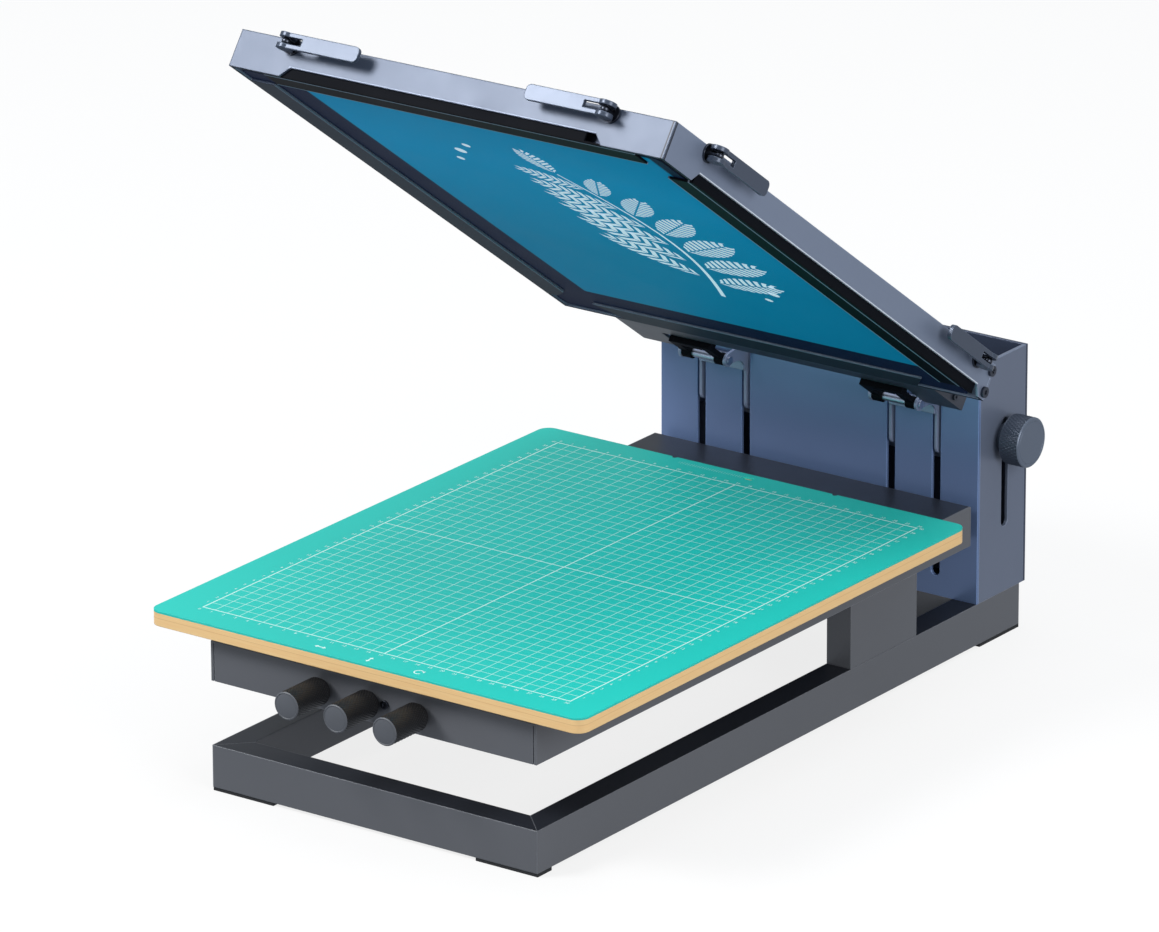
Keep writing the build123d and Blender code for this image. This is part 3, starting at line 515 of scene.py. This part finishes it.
M = {
    # The base's upward faces take a dark second colour: painted shade.
    "base": coat("coat_base", rgb(91, 93, 98), rough=0.4, wear_and_highlight=2.6, top=rgb(34, 37, 45)),
    "tower": coat("coat_tower", rgb(104, 126, 166), rough=0.36, metal=0.25, wear_and_highlight=2.6),
    "holder": coat("coat_holder", rgb(122, 133, 154), 0.38, metal=0.3, wear_and_highlight=2.2, lines=holder_lines),
    "channel": coat("coat_channel", rgb(56, 60, 71), rough=0.4, metal=0.2, wear_and_highlight=2.4),
    "black": coat("coat_black", rgb(10, 12, 17), rough=0.55, wear_and_highlight=3.0, lines=ledge_lines, spec=0.04),
    "lever": coat("coat_lever", rgb(70, 79, 95), rough=0.3, metal=0.35, radius=0.0009, wear_and_highlight=2.6),
    "bracket": coat("coat_bracket", rgb(132, 144, 170), rough=0.34, metal=0.3, radius=0.0006),
    "steel": metal("zinc_steel", rgb(150, 153, 158), 0.34),
    "dark_steel": metal("dark_steel", rgb(74, 78, 88), 0.3),
    "pin": metal("hinge_pin_steel", rgb(176, 184, 204), 0.36),
    # The tower's side and rear panels take copies of the tower coat, toned for how light and
    # reflection fall on them: painted shade, the sides greyer and the rear far darker.
    "tower_side_painted_tone": coat("coat_tower_side", rgb(106, 115, 134), rough=0.38, metal=0.25, wear_and_highlight=2.6),
    "tower_rear": coat("coat_tower_rear_painted_shade", rgb(54, 62, 80), rough=0.4, metal=0.2, wear_and_highlight=3.4),
    "screen_tube": metal("dark_anodised_tube", rgb(62, 68, 82), 0.42, stretch=(0.1, 1, 1)),
    "aluminium": metal("mill_aluminium", rgb(190, 193, 198), 0.38, stretch=(0.1, 1, 1)),
    "brass": metal("turned_brass", rgb(196, 160, 92), 0.32),
    "screw": threaded("screw_thread", rgb(160, 163, 168), 0.001),
    "knob": plastic("knob_plastic", rgb(18, 19, 22), 0.46),
    # The front knobs' end face is a lighter copy of the knob plastic: painted light.
    "knob_face": plastic("knob_end_face_painted_light", rgb(84, 87, 93), 0.5),
    # The side knob's grip and end face are two tones of one metal, the grip darker: painted shade in
    # the knurl.
    "side_grip_painted_shade": coat("side_knob_grip_painted_shade", rgb(70, 78, 92), rough=0.34, metal=0.4, radius=0.0003),
    "side_face": coat("side_knob_face", rgb(96, 106, 122), rough=0.38, metal=0.3, radius=0.0005),
    "rubber": rubber("foot_rubber", rgb(30, 31, 33)),
    "board": board_wood("board_wood"),
    "mat": mat_surface("ruled_mat"),
    "mesh": mesh_surface("screen_mesh_coated"),
    "stencil": stencil_surface("open_mesh"),
    "print": ink("white_print", rgb(222, 246, 240)),
}

DRESS = {
    "base_rail_": "base",
    "pedestal_": "base",
    "carrier_tray": "base",
    "tower_": "tower",
    "tower_left": "tower_side_painted_tone",
    "tower_right": "tower_side_painted_tone",
    "tower_rear": "tower_rear",
    "holder_wall": "holder",
    "hinge_channel": "channel",
    "ledge_bar": "black",
    "hinge_leaves": "black",
    "hinge_bracket": "bracket",
    "hinge_pins": "pin",
    "side_clamp_screw": "steel",
    "leadscrew": "screw",
    "tray_screw": "dark_steel",
    "holder_screws": "dark_steel",
    "clamp_washers": "dark_steel",
    "stage_guide_pegs": "steel",
    "clamp_stud": "dark_steel",
    "clamp_lever": "lever",
    "carriage_beam": "aluminium",
    "screen_rail": "screen_tube",
    "stage_plate": "aluminium",
    "screw_bearing_bars": "aluminium",
    "drive_nut": "brass",
    "adjust_knob": "knob",
    "side_knob": "knob",
    "rubber_feet": "rubber",
    "platen_board": "board",
    "platen_mat": "mat",
    "screen_mesh": "mesh",
}
for name, node in nodes.items():
    for start, look in DRESS.items():
        if name.startswith(start):
            node.data.materials.clear()
            node.data.materials.append(M[look])


# ---------------------------------------------------------------- pieces
def piece(name, mesh, look, body):
    obj = bpy.data.objects.new(name, mesh)
    scene.collection.objects.link(obj)
    mesh.materials.append(M[look])
    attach(obj, body)
    return obj


KNURL_STEPS = 4


def knurl_depth(tooth, cell):
    """Depth share of two crossing helical grooves, at a place counted in teeth and in cells."""
    one = abs((tooth + cell + 0.5) % 1 - 0.5)
    two = abs((tooth - cell + 0.5) % 1 - 0.5)
    return 1 - 2 * min(one, two)


def knurl_rings(rings, cell):
    """Adds the rings that a knurled stretch needs between its two ends."""
    out = [rings[0]]
    for (z0, r0, k0), (z1, r1, k1) in zip(rings, rings[1:]):
        if k0 and k1:
            n = round((z1 - z0) / cell * KNURL_STEPS)
            out += [(z0 + (z1 - z0) * i / n, r0 + (r1 - r0) * i / n, True) for i in range(1, n)]
        out.append((z1, r1, k1))
    return out


def lathe(name, rings, turn, place, look, body, teeth, depth, cell, face):
    """Turned piece with a diamond knurl. rings is (along, radius, knurled).

    cell is the length of one diamond along the axis, and face is the look of the plain
    rings before the first knurled one.
    """
    bm = bmesh.new()
    rings = knurl_rings(rings, cell)
    count = teeth * KNURL_STEPS
    loops = []
    for along, radius, knurled in rings:
        loop = []
        for i in range(count):
            a = 2 * math.pi * i / count
            r = radius
            if knurled:
                r -= depth * knurl_depth(i / KNURL_STEPS, along / cell)
            loop.append(bm.verts.new((r * math.cos(a) * MM, r * math.sin(a) * MM, along * MM)))
        loops.append(loop)
    first = next(k for k, ring in enumerate(rings) if ring[2])
    for k, (a, b) in enumerate(zip(loops, loops[1:])):
        for i in range(count):
            j = (i + 1) % count
            quad = bm.faces.new((a[i], a[j], b[j], b[i]))
            quad.material_index = 1 if k + 1 < first else 0
    cap = bm.faces.new(list(reversed(loops[0])))
    cap.material_index = 1
    bm.faces.new(loops[-1])
    bmesh.ops.recalc_face_normals(bm, faces=bm.faces)
    bm.transform(Matrix.Translation(place) @ turn)
    mesh = bpy.data.meshes.new(name)
    bm.to_mesh(mesh)
    bm.free()
    for p in mesh.polygons:
        p.use_smooth = len(p.vertices) == 4
    mesh.set_sharp_from_angle(angle=math.radians(32))
    obj = piece(name, mesh, look, body)
    mesh.materials.append(M[face])
    return obj


def front_knobs():
    """Long knurled knobs, the end face dished a little, a plain neck at the tray."""
    rings = [
        (0.0, 6.6, False),
        (0.5, 8.4, False),
        (0.15, 8.9, False),
        (0.75, 9.75, False),
        (1.1, 9.95, True),
        (33.5, 9.95, True),
        (34.2, 9.6, False),
        (34.9, 8.2, False),
        (37.0, 8.2, False),
    ]
    turn = Matrix.Rotation(math.radians(-90), 4, "X")
    for name, x in FRONT_KNOB_XS:
        place = bench(x, FRONT_KNOB_Y, FRONT_KNOB_Z)
        body = "knob_" + name
        title = "knurled_" + body
        knob = lathe(title, rings, turn, place, "knob", body, 32, 0.6, 3.35, "knob_face")
        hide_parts("adjust_knob_" + name)


def side_knob():
    """Clamp knob at the right side: a knurled grip with chamfered rims and a stepped shoulder."""
    rings = [
        (0.0, 14.6, False),
        (0.35, 15.0, False),
        (0.0, 15.4, False),
        (0.1, 16.9, False),
        (0.9, 17.7, False),
        (1.3, 17.95, True),
        (14.8, 17.95, True),
        (15.4, 17.5, False),
        (16.0, 16.6, False),
        (16.0, 11.0, False),
        (21.5, 11.0, False),
    ]
    turn = Matrix.Rotation(math.radians(-90), 4, "Y")
    place = bench(*SIDE_KNOB_END)
    title = "knurled_side_knob"
    body = "side_clamp"
    knob = lathe(title, rings, turn, place, "side_grip_painted_shade", body, 44, 0.85, 4.5, "side_face")
    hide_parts("side_knob")


def flat_shapes(name, outlines, place, thick, look, body):
    """Thin printed or cut shapes: each outline is a closed list of (a, b) in mm."""
    bm = bmesh.new()
    for outline in outlines:
        low = [bm.verts.new(place(a, b, 0.0)) for a, b in outline]
        high = [bm.verts.new(place(a, b, thick)) for a, b in outline]
        n = len(outline)
        faces = [bm.faces.new(high), bm.faces.new(list(reversed(low)))]
        for i in range(n):
            j = (i + 1) % n
            bm.faces.new((low[i], low[j], high[j], high[i]))
    bmesh.ops.recalc_face_normals(bm, faces=bm.faces)
    bmesh.ops.triangulate(bm, faces=[f for f in bm.faces if len(f.verts) > 4])
    mesh = bpy.data.meshes.new(name)
    bm.to_mesh(mesh)
    bm.free()
    return piece(name, mesh, look, body)


def mat_print():
    """Ruler numbers round the grid and three plain arrows over the knobs."""
    words = []
    for i in range(0, 31):
        words.append((str(i), MAT_X0 + 10 * i, MAT_Y1 + 2.2))
        words.append((str(i), MAT_X0 + 10 * i, MAT_Y0 - 5.0))
    for i in range(1, 41):
        words.append((str(i), MAT_X0 - 3.6, MAT_Y0 + 10 * i - 1.3))
        words.append((str(i), MAT_X1 + 3.6, MAT_Y0 + 10 * i - 1.3))
    bm = bmesh.new()
    for text, x, y in words:
        curve = bpy.data.curves.new("number", "FONT")
        curve.body = text
        curve.size = 3.6 * MM
        curve.align_x = "CENTER"
        curve.resolution_u = 2
        obj = bpy.data.objects.new("number", curve)
        scene.collection.objects.link(obj)
        bpy.context.view_layer.update()
        graph = bpy.context.evaluated_depsgraph_get()
        made = bpy.data.meshes.new_from_object(obj.evaluated_get(graph))
        made.transform(Matrix.Translation(bench(x, y, MAT_TOP) + Vector((0, 0, 0.00003))))
        bm.from_mesh(made)
        bpy.data.objects.remove(obj)
        bpy.data.meshes.remove(made)
    mesh = bpy.data.meshes.new("mat_numbers")
    bm.to_mesh(mesh)
    bm.free()
    piece("mat_numbers", mesh, "print", "platen")

    def arrow(cx, cy, angle, length):
        """Double-headed arrow."""
        h = length / 2
        pts = [(-h, 0), (-h + 2.2, 1.8), (-h + 2.2, 0.5), (h - 2.2, 0.5), (h - 2.2, 1.8), (h, 0)]
        pts += [(a, -b) for a, b in reversed(pts[1:-1])]
        c, s = math.cos(angle), math.sin(angle)
        return [(cx + a * c - b * s, cy + a * s + b * c) for a, b in pts]

    def ring_arrow(cx, cy, radius):
        """Open ring; its head is a shape of its own."""
        outer, inner = [], []
        for i in range(19):
            a = math.radians(40 + 280 * i / 18)
            outer.append((cx + (radius + 0.45) * math.cos(a), cy + (radius + 0.45) * math.sin(a)))
            inner.append((cx + (radius - 0.45) * math.cos(a), cy + (radius - 0.45) * math.sin(a)))
        return outer + list(reversed(inner))

    shapes = [
        arrow(-41.3, -0.5, 0.0, 9.0),
        arrow(-1.0, -0.5, math.pi / 2, 8.0),
        ring_arrow(39.0, -0.5, 3.1),
    ]
    shapes.append([(42.6, 2.6), (40.4, 1.7), (42.4, -0.4)])

    def on_mat(a, b, c):
        return bench(a, b, MAT_TOP) + Vector((0, 0, 0.00001 + c * MM))

    flat_shapes("mat_arrows", shapes, on_mat, 0.03, "print", "platen")


def stencil():
    """A plain sprig of striped leaves, left open in the emulsion; seen from both faces."""
    shapes = []

    bands = 9
    lean = 0.09

    def leaf(u, v, length, width, angle):
        """Two halves of slanted stripes either side of a bare midrib."""
        c, s = math.cos(angle), math.sin(angle)

        def at(t, side, share):
            half = width / 2 * math.sin(math.pi * min(max(t, 0.0), 1.0)) ** 0.75
            a = t * length
            b = side * (0.7 + share * max(half - 0.7, 0.0))
            return (u + a * c - b * s, v + a * s + b * c)

        for side in (-1, 1):
            for i in range(bands):
                t0 = 0.05 + 0.84 * i / bands
                t1 = t0 + 0.84 / bands * 0.58
                inner = [at(t0, side, 0.0), at(t1, side, 0.0)]
                outer = []
                for k in range(4):
                    f = k / 3
                    outer.append(at(t1 + lean * (0.3 + 0.7 * f), side, 0.33 + 0.67 * f))
                back = []
                for k in range(4):
                    f = 1 - k / 3
                    back.append(at(t0 + lean * (0.3 + 0.7 * f), side, 0.33 + 0.67 * f))
                shapes.append([inner[0], inner[1]] + outer + back)

    def stem(points, wide):
        """Tapering stroke along the points."""
        left, right = [], []
        for i, (a, b) in enumerate(points):
            p = Vector(points[max(i - 1, 0)])
            q = Vector(points[min(i + 1, len(points) - 1)])
            d = (q - p).normalized()
            w = wide * (1 - 0.6 * i / (len(points) - 1)) / 2
            left.append((a - d.y * w, b + d.x * w))
            right.append((a + d.y * w, b - d.x * w))
        shapes.append(left + list(reversed(right)))

    curve = []
    for i in range(15):
        f = i / 14
        curve.append((24 + 34 * math.sin(2.6 * f + 0.2) - 6 * f, 336 - 232 * f))
    stem(curve, 3.4)
    sizes = [(2, 84, 26), (4, 90, 28), (6, 88, 28), (8, 80, 26), (10, 68, 23), (12, 54, 19)]
    for k, (i, length, width) in enumerate(sizes):
        u, v = curve[i]
        d = Vector(curve[i + 1]) - Vector(curve[i - 1])
        heading = math.atan2(d.y, d.x)
        leaf(u + 3, v, length * 0.86, width, heading + math.radians(54 - 2 * k))
        leaf(u - 3, v - 7, length, width, heading - math.radians(56 - 2 * k))
    u, v = curve[-1]
    leaf(u, v - 1, 46, 20, math.radians(-100))
    seeds = [(-44, 96, 4.5), (-30, 80, 3.2), (-56, 116, 3.0)]
    seeds += [(92, 300, 4.2), (78, 318, 3.0), (100, 282, 2.8)]
    for u, v, r in seeds:
        angles = [a * math.pi / 9 for a in range(18)]
        shapes.append([(u + r * math.cos(a), v + r * math.sin(a)) for a in angles])

    def on_mesh(a, b, c):
        return holder(a, b, MESH_UNDERSIDE + c)

    flat_shapes("stencil_sprig", shapes, on_mesh, 0.56, "stencil", "holder")


front_knobs()
side_knob()
mat_print()
stencil()


# ---------------------------------------------------------------- studio
def studio():
    """Pale floor that keeps the shadow, a white surround and four soft lamps.

    The camera sees the floor near white; shiny and lit surfaces see it darker.
    """
    t = Tree("studio_floor")
    path = t.node("ShaderNodeLightPath")
    shown = t.node("ShaderNodeBsdfDiffuse")
    shown.inputs[0].default_value = (0.86, 0.86, 0.86, 1)
    glow = t.node("ShaderNodeEmission")
    glow.inputs[0].default_value = (1, 1, 1, 1)
    seen = t.node("ShaderNodeMixShader")
    seen.inputs[0].default_value = 0.82
    t.link(shown.outputs[0], seen.inputs[1])
    t.link(glow.outputs[0], seen.inputs[2])
    bounce = t.node("ShaderNodeBsdfDiffuse")
    bounce.inputs[0].default_value = (0.20, 0.21, 0.23, 1)
    mirrored = t.node("ShaderNodeEmission")
    mirrored.inputs[0].default_value = (0.52, 0.55, 0.60, 1)
    shiny = t.math("MAXIMUM", path.outputs["Is Glossy Ray"], path.outputs["Is Transmission Ray"])
    other = t.node("ShaderNodeMixShader")
    t.link(shiny, other.inputs[0])
    t.link(bounce.outputs[0], other.inputs[1])
    t.link(mirrored.outputs[0], other.inputs[2])
    both = t.node("ShaderNodeMixShader")
    t.link(path.outputs["Is Camera Ray"], both.inputs[0])
    t.link(other.outputs[0], both.inputs[1])
    t.link(seen.outputs[0], both.inputs[2])
    t.link(both.outputs[0], t.out.inputs[0])
    mesh = bpy.data.meshes.new("floor")
    size = 14
    corners = [(-size, -size, 0), (size, -size, 0), (size, size, 0), (-size, size, 0)]
    mesh.from_pydata(corners, [], [(0, 1, 2, 3)])
    floor = bpy.data.objects.new("floor", mesh)
    scene.collection.objects.link(floor)
    mesh.materials.append(t.mat)

    world = bpy.data.worlds.new("studio")
    scene.world = world
    world.use_nodes = True
    nt = world.node_tree
    nt.nodes.clear()
    out = nt.nodes.new("ShaderNodeOutputWorld")
    plain = nt.nodes.new("ShaderNodeBackground")
    plain.inputs[0].default_value = (0.86, 0.93, 1.0, 1)
    plain.inputs[1].default_value = 0.42
    white = nt.nodes.new("ShaderNodeBackground")
    white.inputs[0].default_value = (1, 1, 1, 1)
    white.inputs[1].default_value = 1.0
    lp = nt.nodes.new("ShaderNodeLightPath")
    mixer = nt.nodes.new("ShaderNodeMixShader")
    nt.links.new(lp.outputs["Is Camera Ray"], mixer.inputs[0])
    nt.links.new(plain.outputs[0], mixer.inputs[1])
    nt.links.new(white.outputs[0], mixer.inputs[2])
    nt.links.new(mixer.outputs[0], out.inputs[0])

    def softbox(name, place, aim, size, power, color=(1, 1, 1)):
        light = bpy.data.lights.new(name, "AREA")
        light.shape = "RECTANGLE"
        light.size, light.size_y = size
        light.energy = power
        light.color = color
        obj = bpy.data.objects.new(name, light)
        scene.collection.objects.link(obj)
        obj.location = place
        obj.rotation_mode = "QUATERNION"
        obj.rotation_quaternion = (Vector(aim) - Vector(place)).to_track_quat("-Z", "Y")

    softbox("key", (-1.6, -2.0, 2.4), (0, 0, 0.3), (1.2, 1.2), 84)
    softbox("fill", (2.8, -1.0, 1.2), (0, 0, 0.2), (1.4, 1.6), 50)
    softbox("top", (0.2, 0.6, 3.0), (0, 0, 0.2), (2.4, 2.4), 40, (0.94, 0.97, 1.0))
    softbox("low", (-2.4, -1.6, 0.42), (0, 0.2, 0.2), (1.2, 0.6), 5, (0.72, 0.86, 1.0))


studio()
scene.view_settings.view_transform = "Standard"
